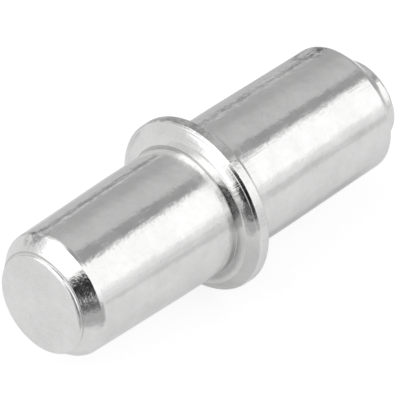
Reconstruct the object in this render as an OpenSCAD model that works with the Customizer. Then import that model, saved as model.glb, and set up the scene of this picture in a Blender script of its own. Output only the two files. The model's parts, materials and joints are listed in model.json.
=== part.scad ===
// Shelf support pin: one solid metal pin with a collar round its middle.
// The panel half plugs into a drilled hole in a cabinet side, the collar stops it
// there, and the shelf rests on the other half.
// Frame: the pin's axis is X and +Z is up, as the pin sits in use. The origin is on
// the axis, in the plane of the collar face that meets the panel. The panel half
// points to -X and the shelf half to +X.

/* [Shanks] */
// Diameter of the parallel part of each half, beside the collar
pin_d = 4.85; // [4:0.05:8]
// Length of the panel half, from the collar face to the end of its bevel
panel_len = 7.03; // [6:0.01:14]
// Length of the shelf half, from the collar face to the end of its bevel
shelf_len = 7.23; // [6:0.01:14]
// Length of the parallel part, measured from the collar's root fillet
land_len = 2; // [1:0.1:4]
// How much each half loses in radius to its draft, from the parallel part to the bevel
draft_in = 0.07; // [0:0.01:0.3]

/* [End bevels] */
// Length of the panel half's bevel, along the axis
panel_bevel_len = 0.6; // [0.3:0.05:1]
// Depth of the panel half's bevel, across the axis
panel_bevel_in = 0.46; // [0.3:0.02:1]
// Radius of the rounded edge where the panel half turns into its bevel
panel_shoulder_r = 0.35; // [0.05:0.05:0.5]
// Length of the shelf half's bevel, along the axis
shelf_bevel_len = 0.5; // [0.3:0.05:1]
// Depth of the shelf half's bevel, across the axis
shelf_bevel_in = 0.52; // [0.3:0.02:1]
// Radius of the rounded edge where the shelf half turns into its bevel
shelf_shoulder_r = 0.2; // [0.05:0.05:0.5]

/* [End pads] */
// Height of the flat pad on the panel end
panel_pad_h = 0.15; // [0.1:0.01:0.6]
// Step in from the end of the bevel to the pad on the panel end
panel_pad_in = 0.02; // [0.02:0.01:0.3]
// Height of the flat pad on the shelf end
shelf_pad_h = 0.42; // [0.1:0.01:0.8]
// Step in from the end of the bevel to the pad on the shelf end
shelf_pad_in = 0.3; // [0.05:0.05:0.5]
// Radius of the rounded edge of both pads
pad_edge_r = 0.1; // [0.02:0.01:0.1]

/* [Collar] */
// How far the collar stands out from the pin
collar_out = 0.8; // [0.6:0.05:2]
// Thickness of the collar between its two flat faces
collar_t = 1.12; // [0.8:0.02:2]
// Width of the band round the collar's rim
rim_w = 0.36; // [0.2:0.02:0.6]
// Depth of the collar's bevels, across the axis
collar_bevel_in = 0.42; // [0.2:0.02:0.46]
// Radius of the rounded edge between each bevel and the rim
rim_edge_r = 0.1; // [0.02:0.01:0.15]
// Radius of the rounded edge between each flat face and its bevel
face_edge_r = 0.1; // [0.05:0.01:0.25]
// Radius of the fillet at the collar's root
root_r = 0.06; // [0.05:0.01:0.2]

/* [Hidden] */
$fn = 128;
// How far an arc's disc stands past its sides, so that it meets them cleanly
overlap = 0.00005;
pin_r = pin_d / 2;
tip_r = pin_r - draft_in;
collar_r = pin_r + collar_out;
collar_bevel_len = (collar_t - rim_w) / 2;

// Half of the pin as it is turned, from the middle of the collar to its end. Each
// corner is [radius, height, radius of its arc], and the last two are the pad's top.
function half_corners(len, bevel_len, bevel_in, shoulder_r, pad_h, pad_in) = [
    [0, 0, 0],
    [collar_r, 0, 0],
    [collar_r, rim_w / 2, rim_edge_r],
    [collar_r - collar_bevel_in, rim_w / 2 + collar_bevel_len, face_edge_r],
    [pin_r, collar_t / 2, root_r],
    [pin_r, collar_t / 2 + root_r + land_len, 0],
    [tip_r, collar_t / 2 + len - bevel_len, shoulder_r],
    [tip_r - bevel_in, collar_t / 2 + len, 0],
    [tip_r - bevel_in - pad_in, collar_t / 2 + len, 0],
    [tip_r - bevel_in - pad_in, collar_t / 2 + len + pad_h, pad_edge_r],
    [0, collar_t / 2 + len + pad_h, 0],
];

function unit(v) = v / norm(v);
function xy(corner) = [corner[0], corner[1]];
function cross_z(a, b) = a[0] * b[1] - a[1] * b[0];

// The unit vector from one corner of an outline towards another
function way(corners, from, to) = unit(xy(corners[to]) - xy(corners[from]));

// Half the angle between the two sides that meet at a corner
function half_angle(corners, i) = acos(way(corners, i, i - 1) * way(corners, i, i + 1)) / 2;

// A rounded corner is cut straight across, between the points where its arc touches
// its two sides. A sharp corner stays as it is.
function blunted(corners, i) =
    corners[i][2] == 0
        ? [xy(corners[i])]
        : [for (to = [i - 1, i + 1])
            xy(corners[i]) + way(corners, i, to) * corners[i][2] / tan(half_angle(corners, i))];

// The discs whose rims are the arcs of an outline: those of the corners that stand out
// for a turn of 1, and those of the corners that go in for a turn of -1
module discs(corners, turn) {
    for (i = [1 : len(corners) - 2]) {
        r = corners[i][2];
        bend = cross_z(way(corners, i - 1, i), way(corners, i, i + 1));
        if (r > 0 && bend * turn > 0)
            translate(
                xy(corners[i])
                + unit(way(corners, i, i - 1) + way(corners, i, i + 1))
                    * r / sin(half_angle(corners, i))
            ) circle(r + overlap);
    }
}

module half_section(len, bevel_len, bevel_in, shoulder_r, pad_h, pad_in) {
    corners = half_corners(len, bevel_len, bevel_in, shoulder_r, pad_h, pad_in);
    difference() {
        union() {
            polygon([for (i = [0 : len(corners) - 1]) each blunted(corners, i)]);
            discs(corners, 1);
        }
        discs(corners, -1);
    }
}

module shelf_pin() {
    color("silver")
        translate([collar_t / 2, 0, 0])
            rotate([0, 90, 0])
                rotate_extrude() {
                    half_section(shelf_len, shelf_bevel_len, shelf_bevel_in,
                        shelf_shoulder_r, shelf_pad_h, shelf_pad_in);
                    mirror([0, 1])
                        half_section(panel_len, panel_bevel_len, panel_bevel_in,
                            panel_shoulder_r, panel_pad_h, panel_pad_in);
                }
}

shelf_pin();
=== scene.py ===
import bpy
import json
import math
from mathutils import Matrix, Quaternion, Vector

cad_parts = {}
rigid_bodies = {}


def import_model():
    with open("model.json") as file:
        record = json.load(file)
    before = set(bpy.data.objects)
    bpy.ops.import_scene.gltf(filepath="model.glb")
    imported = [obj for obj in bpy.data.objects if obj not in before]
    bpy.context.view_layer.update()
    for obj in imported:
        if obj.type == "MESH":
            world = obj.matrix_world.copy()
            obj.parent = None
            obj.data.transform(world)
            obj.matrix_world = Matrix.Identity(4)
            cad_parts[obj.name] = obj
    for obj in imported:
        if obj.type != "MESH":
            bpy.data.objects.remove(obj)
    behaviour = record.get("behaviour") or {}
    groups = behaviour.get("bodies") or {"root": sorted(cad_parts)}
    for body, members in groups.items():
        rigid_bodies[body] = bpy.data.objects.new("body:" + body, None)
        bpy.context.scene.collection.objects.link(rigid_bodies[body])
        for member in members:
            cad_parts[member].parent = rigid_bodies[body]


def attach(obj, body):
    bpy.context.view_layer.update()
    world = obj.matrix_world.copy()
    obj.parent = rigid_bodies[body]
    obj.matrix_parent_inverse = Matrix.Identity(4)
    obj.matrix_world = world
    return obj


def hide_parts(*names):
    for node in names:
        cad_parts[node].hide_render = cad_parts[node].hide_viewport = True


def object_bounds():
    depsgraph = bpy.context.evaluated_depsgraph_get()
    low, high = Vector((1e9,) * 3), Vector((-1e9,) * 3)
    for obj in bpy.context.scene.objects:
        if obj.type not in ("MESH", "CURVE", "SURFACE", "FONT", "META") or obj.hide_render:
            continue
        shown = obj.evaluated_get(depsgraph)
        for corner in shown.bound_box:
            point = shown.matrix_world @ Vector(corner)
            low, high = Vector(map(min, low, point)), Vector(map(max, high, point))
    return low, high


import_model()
cadLow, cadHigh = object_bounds()
mm = 0.001
print("frame loaded")


def selectNothing():
    for thing in bpy.context.view_layer.objects:
        thing.select_set(False)
    bpy.context.view_layer.objects.active = None


def selectPoints(piece, isWanted):
    # picks points of the piece in edit mode by their place
    bpy.ops.mesh.select_mode(type='VERT')
    bpy.ops.mesh.select_all(action='DESELECT')
    bpy.ops.object.mode_set(mode='OBJECT')
    for point in piece.data.vertices:
        point.select = isWanted(point.co)
    bpy.ops.object.mode_set(mode='EDIT')


def addNode(tree, kind, **settings):
    node = tree.nodes.new(kind)
    for name, value in settings.items():
        setattr(node, name, value)
    return node


def fillSockets(tree, sockets, values):
    # each value is a number, a vector or another node's output
    for socket, value in zip(sockets, values):
        if isinstance(value, (int, float, tuple, list, Vector)):
            socket.default_value = value
        else:
            tree.links.new(value, socket)


def mathNode(tree, operation, *values, clamp=False):
    node = addNode(tree, 'ShaderNodeMath', operation=operation, use_clamp=clamp)
    fillSockets(tree, node.inputs, values)
    return node.outputs[0]


def vectorNode(tree, operation, *values):
    node = addNode(tree, 'ShaderNodeVectorMath', operation=operation)
    fillSockets(tree, node.inputs, values)
    isNumber = operation in ('DOT_PRODUCT', 'LENGTH', 'DISTANCE')
    return node.outputs['Value' if isNumber else 'Vector']


def joinNode(tree, *values):
    # a vector from numbers, those that aren't given are 0
    node = addNode(tree, 'ShaderNodeCombineXYZ')
    fillSockets(tree, node.inputs, values)
    return node.outputs[0]


def rampNode(tree, value, low, high, toLow=0, toHigh=1):
    # goes smoothly from toLow to toHigh as the value goes from low to high
    node = addNode(tree, 'ShaderNodeMapRange', interpolation_type='SMOOTHSTEP')
    names = ('Value', 'From Min', 'From Max', 'To Min', 'To Max')
    fillSockets(tree, [node.inputs[name] for name in names], (value, low, high, toLow, toHigh))
    return node.outputs['Result']


def mixNode(tree, factor, first, second):
    node = addNode(tree, 'ShaderNodeMix', data_type='FLOAT')
    names = ('Factor', 'A', 'B')
    fillSockets(tree, [node.inputs[name] for name in names], (factor, first, second))
    return node.outputs['Result']


def scaleNode(tree, vector, scale, move=(0, 0, 0)):
    node = addNode(tree, 'ShaderNodeMapping')
    names = ('Vector', 'Location', 'Scale')
    fillSockets(tree, [node.inputs[name] for name in names], (vector, move, scale))
    return node.outputs[0]


def newGroup(name, takes, gives):
    # a shader node group; what it takes and gives is listed as name and kind
    group = bpy.data.node_groups.new(name, 'ShaderNodeTree')
    for way, sockets in (('INPUT', takes), ('OUTPUT', gives)):
        for label, kind in sockets:
            group.interface.new_socket(label, in_out=way, socket_type='NodeSocket' + kind)
    return group, addNode(group, 'NodeGroupInput'), addNode(group, 'NodeGroupOutput')


def arrangeNodes(tree, gap=220):
    # each node goes one column to the right of the nodes that feed it
    columns, rows = {}, {}

    def columnOf(node):
        if node.name not in columns:
            feeders = [link.from_node for link in tree.links if link.to_node == node]
            columns[node.name] = max((columnOf(feeder) + 1 for feeder in feeders), default=0)
        return columns[node.name]

    for node in tree.nodes:
        column = columnOf(node)
        rows[column] = rows.get(column, 0) + 1
        node.location = (column * gap, -rows[column] * gap)


# in millimetres, along the pin and out from its axis
pin = {
    'panelEnd': cadLow.x / mm, 'shelfEnd': cadHigh.x / mm, 'collarRadius': -cadLow.z / mm,
    'radius': 2.425, 'endRadius': 2.355, 'land': 2.0,
    'panelThin': 0.015,      # the panel half's radius came out this much less
    'collarMiddle': 0.56, 'collarHalf': 0.56, 'rimHalf': 0.18, 'collarBevel': 0.42,
    'faceLean': 0.02,        # the collar's flat faces lean by this much each way
    'rootRound': 0.025, 'rimRound': 0.04, 'faceRound': 0.15,
    # the collar's bevels bulge a little: along from the middle, in from the rim, and round
    'bevelSwell': (0.4365, 0.25, 1.2),
    # a small rolled lip: the rim is narrower by rimTrim, then drops to the lip's edge and
    # over the lip, both as (along, in)
    'rimTrim': 0.015, 'lipEdge': (0.095, 0.076), 'lip': (0.021, 0.034), 'lipRound': 0.02,
    # the end bevels as (length, depth), the pads as (height, step in from the bevel)
    'panelBevel': (0.6, 0.46), 'panelShoulderRound': 0.3, 'panelPad': (0.15, 0.02),
    'shelfBevel': (0.5, 0.52), 'shelfShoulderRound': 0.2, 'shelfPad': (0.42, 0.3),
    'bevelTipRound': 0.04, 'stepRound': 0.012, 'padRound': 0.135,
    'padLoop': 0.35,         # a loop on the pads, this far in from their edges
    # how far the collar and the halves are off the axis, and the pad and the stub off
    # their halves, as pressed
    'collarOff': (0, -0.015, -0.013),
    'panelOff': (0, -0.017, -0.019), 'shelfOff': (0, 0.025, 0.023),
    'padOff': (0, 0.006, -0.07), 'stubOff': (0, -0.2, 0),
    'collarFrom': 2.6,       # points further out than this belong to the collar
    'padReach': 0.14,        # points this far round a pad still move with it
    'turns': 240,            # steps of the spin
    'roundSteps': 7,         # segments in each rounded corner
    'holdLine': 0.012,       # a loop this far past each round keeps the flats flat,
    'holdShare': 0.3,        # or this share of the round where that is less,
    'sideShare': 0.49,       # and none where it would be past this share of the side
    'touching': 1e-4,        # points nearer than this are one
    'smoothUnder': 35,       # degrees, faces that meet at less are shaded as one
}


def padRadius(bevel, pad):
    return pin['endRadius'] - bevel[1] - pad[1]


def halfOutline(end, bevel, shoulderRound, pad, thin):
    # corners of one half as (along, out, round), from the collar's rim to the pad
    side = 1 if end > 0 else -1
    middle, rimTop = pin['collarMiddle'], pin['collarRadius']
    bevelEnd = end - side * pad[0]
    rimEnd = middle + side * (pin['rimHalf'] - pin['rimTrim'])
    (edgeAlong, edgeIn), (lipAlong, lipIn) = pin['lipEdge'], pin['lip']
    swellAlong, swellIn, swellRound = pin['bevelSwell']
    landEnd = middle + side * (pin['collarHalf'] + pin['rootRound'] + pin['land'])
    return [
        (rimEnd, rimTop, pin['rimRound']),
        (rimEnd + side * edgeAlong, rimTop - edgeIn, pin['lipRound']),
        (rimEnd + side * (edgeAlong + lipAlong), rimTop - edgeIn - lipIn, pin['lipRound']),
        (middle + side * swellAlong, rimTop - swellIn, swellRound),
        (middle + side * (pin['collarHalf'] - pin['faceLean']), rimTop - pin['collarBevel'],
         pin['faceRound']),
        (middle + side * (pin['collarHalf'] + pin['faceLean']), pin['radius'] - thin,
         pin['rootRound']),
        (landEnd, pin['radius'] - thin, 0),
        (bevelEnd - side * bevel[0], pin['endRadius'] - thin, shoulderRound),
        (bevelEnd, pin['endRadius'] - bevel[1], pin['bevelTipRound']),
        (bevelEnd, padRadius(bevel, pad), pin['stepRound']),
        (end, padRadius(bevel, pad), pin['padRound']),
        (end, padRadius(bevel, pad) - pin['padLoop'], 0),
        (end, 0, 0),
    ]


def turnOutline():
    panelHalf = halfOutline(pin['panelEnd'], pin['panelBevel'], pin['panelShoulderRound'],
                            pin['panelPad'], pin['panelThin'])
    shelfHalf = halfOutline(pin['shelfEnd'], pin['shelfBevel'], pin['shelfShoulderRound'],
                            pin['shelfPad'], 0)
    return panelHalf[::-1] + shelfHalf


def drawOutline(outline):
    # draws the outline a point at a time, with a holding point beside each round that has room
    rounds = []
    places = [Vector((along, 0, out)) for along, out, _ in outline]
    here = places[0]

    def drawTo(place):
        nonlocal here
        bpy.ops.mesh.extrude_region_move(TRANSFORM_OT_translate={'value': place - here})
        here = place.copy()

    for before, point, after, corner in zip(places, places[1:], places[2:], outline[1:]):
        size = corner[2]
        if size == 0:
            drawTo(point)
            continue
        toBefore, toAfter = before - point, after - point
        run = size / math.tan(toBefore.angle(toAfter) / 2)
        hold = run + min(pin['holdLine'], size * pin['holdShare'])
        if hold < toBefore.length * pin['sideShare']:
            drawTo(point + toBefore.normalized() * hold)
        drawTo(point)
        rounds.append((point, run))
        if hold < toAfter.length * pin['sideShare']:
            drawTo(point + toAfter.normalized() * hold)
    drawTo(places[-1])
    return rounds


def shiftParts(piece):
    # the halves, the collar, the pad and the stub are a little off one another
    padStart = pin['panelEnd'] + pin['panelPad'][0]
    stubStart = pin['shelfEnd'] - pin['shelfPad'][0]
    padOut = padRadius(pin['panelBevel'], pin['panelPad']) + pin['padReach']
    stubOut = padRadius(pin['shelfBevel'], pin['shelfPad']) + pin['padReach']

    def out(co):
        return math.hypot(co.y, co.z)

    def onShank(co):
        return out(co) < pin['collarFrom']

    slack = 0.001            # takes in the points that lie in the bevel's end plane
    parts = (
        ('panelOff', lambda co: co.x < pin['collarMiddle'] and onShank(co)),
        ('collarOff', lambda co: out(co) > pin['collarFrom']),
        ('shelfOff', lambda co: co.x > pin['collarMiddle'] and onShank(co)),
        ('padOff', lambda co: co.x < padStart + slack and out(co) < padOut),
        ('stubOff', lambda co: co.x > stubStart - slack and out(co) < stubOut),
    )
    for name, isWanted in parts:
        selectPoints(piece, isWanted)
        bpy.ops.transform.translate(value=pin[name])


def buildPin():
    outline = turnOutline()
    selectNothing()
    # a plane, of any small size, is merged into the outline's first point
    bpy.ops.mesh.primitive_plane_add(size=0.1, location=(outline[0][0], 0, 0))
    piece = bpy.context.object
    piece.name = 'shelfPinBody'
    bpy.ops.object.transform_apply(location=True)
    bpy.ops.object.mode_set(mode='EDIT')
    bpy.ops.mesh.merge(type='CENTER')
    for place, run in drawOutline(outline):
        selectPoints(piece, lambda co: (co - place).length < pin['touching'])
        bpy.ops.mesh.bevel(offset=run, segments=pin['roundSteps'], affect='VERTICES',
                           clamp_overlap=False)
    print("outline drawn: %d points" % len(piece.data.vertices))

    bpy.ops.mesh.select_all(action='SELECT')
    bpy.ops.mesh.spin(steps=pin['turns'], angle=math.tau, center=(0, 0, 0), axis=(1, 0, 0))
    bpy.ops.mesh.select_all(action='SELECT')
    bpy.ops.mesh.remove_doubles(threshold=pin['touching'])
    bpy.ops.mesh.normals_make_consistent(inside=False)
    shiftParts(piece)
    bpy.ops.object.mode_set(mode='OBJECT')
    piece.scale = (mm, mm, mm)
    bpy.ops.object.transform_apply(scale=True)
    bpy.ops.object.shade_smooth_by_angle(angle=math.radians(pin['smoothUnder']))
    print("pin turned: %d faces" % len(piece.data.polygons))
    return piece


# where the plating differs, in millimetres: each pair is where a zone starts and is full
zones = {
    'padDepth': (0.10, 0.06), 'padOut': (1.86, 1.80),
    'panelBevelTo': (0.76, 0.68), 'shelfBevelTo': (0.98, 0.90),
    'collarFrom': (2.80, 2.86), 'slopeFrom': (0.19, 0.24), 'wornEdge': (0.09, 0.0),
    'shelfHalfFrom': (0.6, 1.6), 'topOnPanelHalf': 0.5,
    # sides of the pin: a direction out from the axis, and how squarely a spot faces it
    # where the side starts and is full
    # the lower side: the collar's slopes are darkened there with painted shade
    'lowSide': ((0, -0.727, -0.687), 0.45, 0.8),
    'clearOfLow': ((0, -0.727, -0.687), 1.15, 0.3),
    'topSide': ((0, 0.539, 0.842), 0.90, 0.985),
    'rimTopSide': ((0, 0.26, 0.966), 0.82, 0.95),
    # the sides where the painted shade lines in the groove and on the shelf end's bevel show
    'grooveSide': ((0, -0.805, 0.593), 0.92, 0.98),
    'farLineSide': ((0, -0.665, 0.746), 0.92, 0.985),
    # the root and under corners and the pads' feet are darkened with painted shade; beside only
    # makes the plating duller
    # inside corners: how far past the edge, then in from the outside where given, and size
    'rootSize': 0.065, 'under': (0.05, 0.34), 'beside': (0.37, 0.35),
    'groove': (0.05, 0.045, 0.075), 'farLine': (0.34, 0.16, 0.26),
    'cornerCore': 0.4,       # the share of a corner's size that is full
    'panelStep': (0.06, 0.7), 'shelfStep': (0.075, 1.7),   # size and strength at the pads' feet
}


def zoneGroup():
    # masks of the pads, bevels, rim and corners, and two vectors that follow the turning
    masks = ('Pad', 'Bevel', 'Slope', 'Rim', 'Worn', 'RimTopDark', 'LowShade', 'Top', 'PaintedCornerShade',
             'GrooveShade', 'Beside')
    group, start, end = newGroup('pinZones', [('Point', 'Vector')],
                                 [(name, 'Float') for name in masks]
                                 + [('Around', 'Vector'), ('Profile', 'Vector')])
    parts = addNode(group, 'ShaderNodeSeparateXYZ')
    group.links.new(start.outputs['Point'], parts.inputs[0])
    along = parts.outputs['X']
    across = joinNode(group, 0, parts.outputs['Y'], parts.outputs['Z'])
    radius = vectorNode(group, 'LENGTH', across)
    around = vectorNode(group, 'NORMALIZE', across)

    def calc(operation, *values, **settings):
        return mathNode(group, operation, *values, **settings)

    def times(first, second):
        return calc('MULTIPLY', first, second)

    def ramp(value, limits, origin=0, way=1):
        return rampNode(group, value, origin + way * limits[0], origin + way * limits[1])

    def side(name):
        direction, low, high = zones[name]
        return rampNode(group, vectorNode(group, 'DOT_PRODUCT', around, direction), low, high)

    def corner(distance, middle, out, size, outward=radius):
        spot = joinNode(group, calc('SUBTRACT', distance, middle),
                        calc('SUBTRACT', outward, out))
        away = vectorNode(group, 'LENGTH', spot)
        return rampNode(group, away, size, size * zones['cornerCore'])

    fromMiddle = calc('ABSOLUTE', calc('SUBTRACT', along, pin['collarMiddle']))
    ends = calc('MAXIMUM', ramp(along, zones['padDepth'], pin['panelEnd']),
                ramp(along, zones['padDepth'], pin['shelfEnd'], -1))
    pad = times(ends, ramp(radius, zones['padOut']))
    bevels = calc('MAXIMUM', ramp(along, zones['panelBevelTo'], pin['panelEnd']),
                  ramp(along, zones['shelfBevelTo'], pin['shelfEnd'], -1))
    onCollar = ramp(radius, zones['collarFrom'])
    offRim = ramp(fromMiddle, zones['slopeFrom'])
    slope = times(onCollar, offRim)
    rim = times(onCollar, calc('SUBTRACT', 1, offRim))
    fromRimEdge = calc('ABSOLUTE', calc('SUBTRACT', fromMiddle, pin['rimHalf']))
    share = zones['topOnPanelHalf']
    onShelfHalf = calc('ADD', times(ramp(along, zones['shelfHalfFrom']), 1 - share), share)

    # the inside corners, where the plating is dull beside the root, and where painted shade
    # darkens the root corners and the pads' feet
    notLow = side('clearOfLow')
    root = corner(fromMiddle, pin['collarHalf'] + pin['faceLean'], pin['radius'],
                  zones['rootSize'])
    past, size = zones['under']
    under = corner(fromMiddle, pin['collarHalf'] + past, pin['radius'], size)
    root = calc('MAXIMUM', times(root, notLow), times(under, calc('SUBTRACT', 1, notLow)))
    past, size = zones['beside']
    beside = corner(fromMiddle, pin['collarHalf'] + past, pin['radius'], size)
    size, strength = zones['panelStep']
    panelStep = times(corner(along, pin['panelEnd'] + pin['panelPad'][0],
                             padRadius(pin['panelBevel'], pin['panelPad']), size), strength)
    size, strength = zones['shelfStep']
    fromStub = vectorNode(group, 'LENGTH', vectorNode(group, 'SUBTRACT', across, pin['stubOff']))
    shelfStep = times(corner(along, pin['shelfEnd'] - pin['shelfPad'][0],
                             padRadius(pin['shelfBevel'], pin['shelfPad']), size, fromStub),
                      strength)
    steps = calc('MAXIMUM', panelStep, shelfStep)

    # painted shade: dark lines in the lip's groove and on the shelf end's bevel, each on one side
    past, inward, size = zones['groove']
    groove = corner(along, pin['collarMiddle'] - pin['rimHalf'] - past,
                    pin['collarRadius'] - inward, size)
    past, inward, size = zones['farLine']
    farLine = corner(along, pin['shelfEnd'] - pin['shelfPad'][0] - past,
                     pin['endRadius'] - inward, size)

    results = {
        'Pad': pad,
        'Bevel': calc('SUBTRACT', bevels, pad, clamp=True),
        'Slope': slope,
        'Rim': rim,
        'Worn': times(ramp(fromRimEdge, zones['wornEdge']), onCollar),
        'RimTopDark': times(rim, side('rimTopSide')),
        # painted shade: the collar's slopes are darker on their lower side
        'LowShade': times(side('lowSide'), slope),
        'Top': times(side('topSide'), onShelfHalf),
        # painted shade in the inside corners
        'PaintedCornerShade': calc('MAXIMUM', root, steps),
        # painted shade lines in the groove and on the shelf end's bevel
        'GrooveShade': calc('MAXIMUM', times(groove, side('grooveSide')),
                       times(farLine, side('farLineSide'))),
        'Beside': times(beside, notLow),
        'Around': around,
        'Profile': joinNode(group, along, radius),
    }
    for name, value in results.items():
        group.links.new(value, end.inputs[name])
    arrangeNodes(group)
    return group


plating = {
    'color': (0.835, 0.885), 'colorPatches': (0.3, 0.7), 'blueShare': 0.995,
    # waves per millimetre, detail, roughness of the detail, stretch if it isn't even
    'noises': {
        'peel': (7.0, 2, 0.5, None),
        'dent': (1.5, 1, 0.5, None),
        'topDent': (4.2, 2, 0.5, (0.55, 1, 1)),
        'streak': (9.0, 1, 0.5, (0.16, 1, 1)),
        'pad': (2.4, 2, 0.5, None),
        'chatter': (36, 0, 0.5, None),       # ripple marks on the collar, waves per radian
        'turning': (16, 1, 0.5, None),
        'pits': (3.6, 5, 0.62, None),
        'patches': (0.9, 1, 0.5, None),
        'hair': (14.0, 0, 0.5, (0.06, 1, 1)),
        'hairAround': (16.0, 0, 0.5, (1.0, 0.12, 0.12)),
        'specks': (11.0, 1, 0.5, None),
    },
    # in millimetres, from the lowest to the highest
    'heights': {
        'peel': 0.0038, 'dent': 0.011, 'topDent': 0.026, 'streak': 0.0014, 'pad': 0.036,
        'chatter': 0.014, 'turning': 0.001, 'pits': 0.015,
    },
    'scratchDepth': 0.0005,
    # the ripple marks are full round this place, and faint from the second distance on
    'chatterSpot': (0.18, -2.19, 2.05), 'chatterFade': (0.15, 0.42, 1, 0.06),
    'turningOnSlope': 3,     # this many times as much is added on the collar's slopes
    'pitShares': {'Bevel': 0.68, 'Slope': 0.5, 'Rim': 1},
    'hairFrom': (0.70, 0.78), 'hairAroundFrom': (0.72, 0.80), 'specksFrom': (0.76, 0.82),
    # noise from and to, and the roughness that it gives
    'peelRoughness': (0.3, 0.7, 0.075, 0.145),
    'patchRoughness': (0.35, 0.65, -0.015, 0.03),
    'scratchRoughness': 0.12,
    'zoneRoughness': {'Pad': 0.185, 'Rim': 0.08, 'Beside': 0.09, 'Worn': -0.03},
    # the corner, groove and lower-slope tones are painted shade; the rim and worn-edge tones are
    # the plating's own
    'zoneTone': {'GrooveShade': -0.62, 'PaintedCornerShade': -0.3, 'LowShade': -0.17, 'Rim': -0.03, 'Worn': 0.04},
    'cloud': 0.14,
    'speckTone': -0.14,
    # place, size, how dark
    'stains': [((7.35, 1.15, 2.1), 0.95, 0.62), ((-6.5, 0.85, 2.1), 0.65, 0.42)],
    'stainCore': 0.4, 'stainBlotch': (0.42, 0.6),
    'rimTopDarkening': 0.32, 'rimBlotch': (0.38, 0.6),
}


def surfaceGroup(zoneTree):
    # the fine surface: height in millimetres, roughness and tone
    group, start, end = newGroup('platedSurface', [('Point', 'Vector')],
                                 [('Height', 'Float'), ('Roughness', 'Float'), ('Tone', 'Color')])
    point = start.outputs['Point']
    zone = addNode(group, 'ShaderNodeGroup', node_tree=zoneTree)
    group.links.new(point, zone.inputs['Point'])
    inZone = zone.outputs

    def plus(first, second):
        return mathNode(group, 'ADD', first, second)

    def times(first, second):
        return mathNode(group, 'MULTIPLY', first, second)

    def ramp(value, *limits):
        return rampNode(group, value, *limits)

    noises = {}
    noiseMiddle = 0.5
    followed = {'chatter': inZone['Around'], 'turning': inZone['Profile']}
    for name, (scale, detail, rough, stretch) in plating['noises'].items():
        vector = followed.get(name, point)
        if stretch:
            vector = scaleNode(group, vector, stretch)
        node = addNode(group, 'ShaderNodeTexNoise')
        names = ('Vector', 'Scale', 'Detail', 'Roughness')
        fillSockets(group, [node.inputs[label] for label in names], (vector, scale, detail, rough))
        noises[name] = node.outputs['Fac']
    pits = noises['pits']
    # even about 0, so that there's no step at a pad's edge
    noises['pad'] = mathNode(group, 'SUBTRACT', noises['pad'], noiseMiddle)
    scratches = mathNode(group, 'MAXIMUM', ramp(noises['hair'], *plating['hairFrom']),
                         ramp(noises['hairAround'], *plating['hairAroundFrom']))

    fromSpot = vectorNode(group, 'DISTANCE', point, plating['chatterSpot'])
    pitted = 0
    for name, share in plating['pitShares'].items():
        pitted = plus(pitted, times(inZone[name], share))
    masks = {
        'topDent': [inZone['Top']],
        'pad': [inZone['Pad']],
        'chatter': [inZone['Slope'], ramp(fromSpot, *plating['chatterFade'])],
        'turning': [plus(times(inZone['Slope'], plating['turningOnSlope']), 1)],
        'pits': [pitted],
    }
    height = times(scratches, -plating['scratchDepth'])
    for name, size in plating['heights'].items():
        layer = times(noises[name], size)
        for mask in masks.get(name, []):
            layer = times(layer, mask)
        height = plus(height, layer)

    rough = plus(ramp(noises['peel'], *plating['peelRoughness']),
                 ramp(noises['patches'], *plating['patchRoughness']))
    rough = plus(rough, times(scratches, plating['scratchRoughness']))
    for name, amount in plating['zoneRoughness'].items():
        rough = plus(rough, times(inZone[name], amount))

    tone = ramp(noises['patches'], *plating['colorPatches'], *plating['color'])
    cloud = mathNode(group, 'SUBTRACT', pits, noiseMiddle)
    tone = plus(tone, times(cloud, plating['cloud']))
    specks = ramp(noises['specks'], *plating['specksFrom'])
    tone = plus(tone, times(specks, plating['speckTone']))
    for place, size, depth in plating['stains']:
        away = vectorNode(group, 'DISTANCE', point, place)
        spot = times(ramp(away, size, size * plating['stainCore']),
                     ramp(pits, *plating['stainBlotch']))
        tone = plus(tone, times(spot, -depth))
    # the rim's upper side is darker in blotches
    rimSpot = times(inZone['RimTopDark'], ramp(pits, *plating['rimBlotch']))
    tone = plus(tone, times(rimSpot, -plating['rimTopDarkening']))
    for name, amount in plating['zoneTone'].items():
        tone = plus(tone, times(inZone[name], amount))
    color = addNode(group, 'ShaderNodeCombineColor')
    fillSockets(group, color.inputs, (tone, tone, times(tone, plating['blueShare'])))

    group.links.new(height, end.inputs['Height'])
    group.links.new(rough, end.inputs['Roughness'])
    group.links.new(color.outputs[0], end.inputs['Tone'])
    arrangeNodes(group)
    return group


def newTree(owner):
    # the node tree of a material or world, emptied
    owner.use_nodes = True
    owner.node_tree.nodes.clear()
    return owner.node_tree


def plateMaterial():
    material = bpy.data.materials.new('platedMetal')
    tree = newTree(material)
    link = tree.links.new
    place = addNode(tree, 'ShaderNodeTexCoord')
    inMillimetres = scaleNode(tree, place.outputs['Object'], (1 / mm, 1 / mm, 1 / mm))
    surface = addNode(tree, 'ShaderNodeGroup', node_tree=surfaceGroup(zoneGroup()))
    link(inMillimetres, surface.inputs['Point'])
    bump = addNode(tree, 'ShaderNodeBump')
    bump.inputs['Strength'].default_value = 1
    bump.inputs['Distance'].default_value = mm
    link(surface.outputs['Height'], bump.inputs['Height'])
    shader = addNode(tree, 'ShaderNodeBsdfPrincipled')
    shader.inputs['Metallic'].default_value = 1
    link(surface.outputs['Tone'], shader.inputs['Base Color'])
    link(surface.outputs['Roughness'], shader.inputs['Roughness'])
    link(bump.outputs['Normal'], shader.inputs['Normal'])
    out = addNode(tree, 'ShaderNodeOutputMaterial')
    link(shader.outputs[0], out.inputs[0])
    arrangeNodes(tree)
    print("plated metal made")
    return material


camera = {
    'azimuth': -46.8,        # degrees, 0 looks along +Y
    'elevation': 37.47,
    'distance': 0.64,        # metres
    'viewWidth': 13.662 * mm,    # what the frame takes in at the pin
    'aimRight': 0.135 * mm,      # the aim point, from the middle of the collar
    'aimUp': 0.086 * mm,
    'sensor': 36,            # millimetres, as the lens is
    'clip': (0.01, 20),      # metres
}


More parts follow.
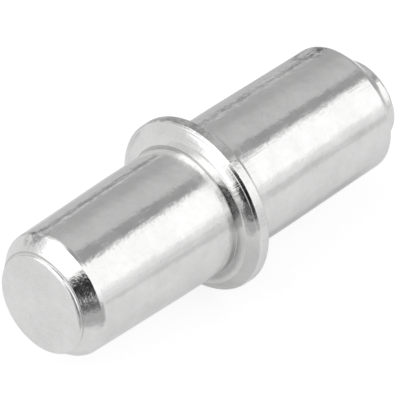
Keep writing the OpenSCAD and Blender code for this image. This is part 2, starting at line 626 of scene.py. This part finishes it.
def addCamera():
    turn, lift = math.radians(camera['azimuth']), math.radians(camera['elevation'])
    back = Vector((math.sin(turn) * math.cos(lift), -math.cos(turn) * math.cos(lift),
                   math.sin(lift)))
    right = Vector((0, 0, 1)).cross(back).normalized()
    up = back.cross(right)
    aim = Vector((pin['collarMiddle'] * mm, 0, 0))
    aim += right * camera['aimRight'] + up * camera['aimUp']
    bpy.ops.object.camera_add(location=aim + back * camera['distance'])
    eye = bpy.context.object
    eye.name = 'mainCamera'
    eye.rotation_mode = 'QUATERNION'
    eye.rotation_quaternion = back.to_track_quat('Z', 'Y')
    eye.data.sensor_width = camera['sensor']
    eye.data.lens = camera['sensor'] * camera['distance'] / camera['viewWidth']
    eye.data.clip_start, eye.data.clip_end = camera['clip']
    bpy.context.scene.camera = eye
    print("camera placed, lens %.0f mm" % eye.data.lens)


studio = {
    'base': 0.74,
    # name, azimuth (from +X towards +Y), elevation, half width, half height and edge in
    # degrees, light, roll
    'panels': [
        ('ceiling', 0, 88, 24, 24, 6, 0.34, 0),
        ('wall', 22, 27, 44, 25, 3, 0.44, 0),
        ('wallTop', 8, 60, 30, 14, 9, 0.57, 0),
        ('wallLine', 52, 16.5, 30, 1.9, 1.5, 0.7, 0),
        ('wallFoot', 52, 9.0, 30, 3.6, 2, 0.31, 0),
        ('gap', -27, 52.5, 13, 10, 2, 0.36, 0),
        ('keyFoot', -56, 3, 40, 5, 1.5, 0.84, 0),
        ('keyBox', -63, 29.6, 29, 21.1, 4.5, 1.13, -7),
        ('keyBoxSide', -95, 42, 30, 22, 5, 1.12, 0),
        ('leftBox', 152.8, 59.9, 36.4, 20.7, 9, 1.5, 20),
        ('leftLow', 179.3, 19.5, 18.6, 11.3, 7, 1.3, 0),
        ('cornerLight', -105, 20, 13, 14, 3, 1.1, 0),
        ('cameraBody', -136, 21, 14, 17.5, 3, 0.03, 0),
        ('cameraStand', -134, -5, 14.5, 8, 2.5, 0.04, 0),
    ],
    # painted shade and light on the floor, seen only in the metal: darker patches and bands, and
    # one lighter patch; the same columns as the panels, with the point in millimetres that each is
    # seen from after its name
    'patches': [
        ('frontNear', (-7, -1.5, 3), -122, -18, 44, 18.7, 9, 0.43, 0),
        ('frontFar', (-7, -1.5, 3), -131, -1.0, 16, 10.5, 4, 0.11, 0),
        ('lineNear', (-4, -1.7, 3), -54, -8.2, 13, 2.6, 1.6, 0.6, 0),
        ('lineFar', (5, -1.7, 3), -54, -5.4, 8, 3.2, 1.8, 0.59, 0),
        ('behindNear', (-4, 0, 3), 52, -6, 26, 7, 5, 0.54, 0),
        ('behindFar', (6, 0, 3), 47, -6, 13, 9, 4, 0.5, 0),
        ('underFar', (5, -1.6, 3), -90, -90, 49, 12, 10, 0.56, 0),
        ('leftFloor', (0, 0, 3), 140, -36, 22, 18, 9, 0.78, 0),
    ],
    'floorSize': 2,          # metres
    'floorSeen': 0.73,       # how light the floor is in the metal, outside the patches
    'floorShaded': 0.5,      # the share of its light that the pin can shade
    'lightOnFloor': 0.78,    # how much of the studio's light falls there
    'shownGlow': 0.81, 'shownMatte': 0.3,    # what the camera sees of the floor
}


def panelGroup():
    # a soft-edged panel of light, laid over what is already there in a direction
    vectors = ('Direction', 'Facing', 'Across', 'Up')
    numbers = ('Half Width', 'Half Height', 'Edge', 'Light', 'Before')
    group, start, end = newGroup('softPanel',
                                 [(name, 'Vector') for name in vectors]
                                 + [(name, 'Float') for name in numbers],
                                 [('After', 'Float')])
    given = start.outputs

    def calc(operation, *values):
        return mathNode(group, operation, *values)

    def turned(name):
        return vectorNode(group, 'DOT_PRODUCT', given['Direction'], given[name])

    facing = turned('Facing')
    least = 0.001            # a direction that faces the panel less than this misses it
    ahead = calc('MAXIMUM', facing, least)
    mask = calc('GREATER_THAN', facing, least)
    for name, size in (('Across', 'Half Width'), ('Up', 'Half Height')):
        tangent = calc('DIVIDE', turned(name), ahead)
        angle = calc('ABSOLUTE', calc('ARCTANGENT', tangent))
        past = calc('DIVIDE', calc('SUBTRACT', angle, given[size]), given['Edge'])
        inside = rampNode(group, past, -1, 1, 1, 0)     # fades over an edge's width each way
        mask = calc('MULTIPLY', mask, inside)
    after = mixNode(group, mask, given['Before'], given['Light'])
    group.links.new(after, end.inputs['After'])
    arrangeNodes(group)
    return group


def addPanels(tree, group, direction, panels, level):
    # lays the soft panels over one another, later ones on top
    for name, azimuth, elevation, halfWidth, halfHeight, edge, light, roll in panels:
        turn, lift = math.radians(azimuth), math.radians(elevation)
        facing = Vector((math.cos(turn) * math.cos(lift), math.sin(turn) * math.cos(lift),
                         math.sin(lift)))
        across = Vector((-math.sin(turn), math.cos(turn), 0))
        across.rotate(Quaternion(facing, math.radians(-roll)))
        panel = addNode(tree, 'ShaderNodeGroup', node_tree=group, name=name, label=name)
        sizes = (math.radians(size) for size in (halfWidth, halfHeight, edge))
        fillSockets(tree, panel.inputs,
                    (direction, facing, across, facing.cross(across), *sizes, light, level))
        level = panel.outputs['After']
    return level


def buildStudio(group):
    world = bpy.data.worlds.new('studio')
    bpy.context.scene.world = world
    tree = newTree(world)
    place = addNode(tree, 'ShaderNodeTexCoord')
    level = addPanels(tree, group, place.outputs['Generated'], studio['panels'], studio['base'])
    rays = addNode(tree, 'ShaderNodeLightPath')
    shown = mixNode(tree, rays.outputs['Is Camera Ray'], level, 1)
    background = addNode(tree, 'ShaderNodeBackground')
    tree.links.new(shown, background.inputs['Color'])
    background.inputs['Strength'].default_value = 1
    out = addNode(tree, 'ShaderNodeOutputWorld')
    tree.links.new(background.outputs[0], out.inputs[0])
    arrangeNodes(tree)
    print("studio world set: %d panels" % len(studio['panels']))


def buildFloor(group):
    selectNothing()
    bpy.ops.mesh.primitive_plane_add(size=studio['floorSize'], location=(0, 0, cadLow.z))
    floor = bpy.context.object
    floor.name = 'floor'
    material = bpy.data.materials.new('paleFloor')
    tree = newTree(material)
    link = tree.links.new
    place = addNode(tree, 'ShaderNodeTexCoord')
    level = studio['floorSeen']
    # the patches paint shade and light onto the floor, which only the metal's reflections see
    for name, eye, *panel in studio['patches']:
        fromEye = scaleNode(tree, place.outputs['Object'], (1 / mm, 1 / mm, 1 / mm),
                            [-value for value in eye])
        level = addPanels(tree, group, fromEye, [(name, *panel)], level)

    # one part of the floor glows, and the other takes the light and the pin's shadow
    share = studio['floorShaded']
    isShown = addNode(tree, 'ShaderNodeLightPath').outputs['Is Camera Ray']
    glow = addNode(tree, 'ShaderNodeEmission')
    glowing = mathNode(tree, 'MULTIPLY', level, 1 - share)
    link(mixNode(tree, isShown, glowing, studio['shownGlow']), glow.inputs['Strength'])
    matte = addNode(tree, 'ShaderNodeBsdfDiffuse')
    shaded = mathNode(tree, 'MULTIPLY', level, share / studio['lightOnFloor'])
    link(mixNode(tree, isShown, shaded, studio['shownMatte']), matte.inputs['Color'])
    add = addNode(tree, 'ShaderNodeAddShader')
    link(matte.outputs[0], add.inputs[0])
    link(glow.outputs[0], add.inputs[1])
    out = addNode(tree, 'ShaderNodeOutputMaterial')
    link(add.outputs[0], out.inputs[0])
    arrangeNodes(tree)
    floor.data.materials.append(material)
    print("floor laid")


addCamera()
body = buildPin()
body.data.materials.append(plateMaterial())
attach(body, "root")
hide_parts("shelf_pin")
softPanel = panelGroup()
buildStudio(softPanel)
buildFloor(softPanel)

bpy.context.scene.view_settings.view_transform = 'Standard'
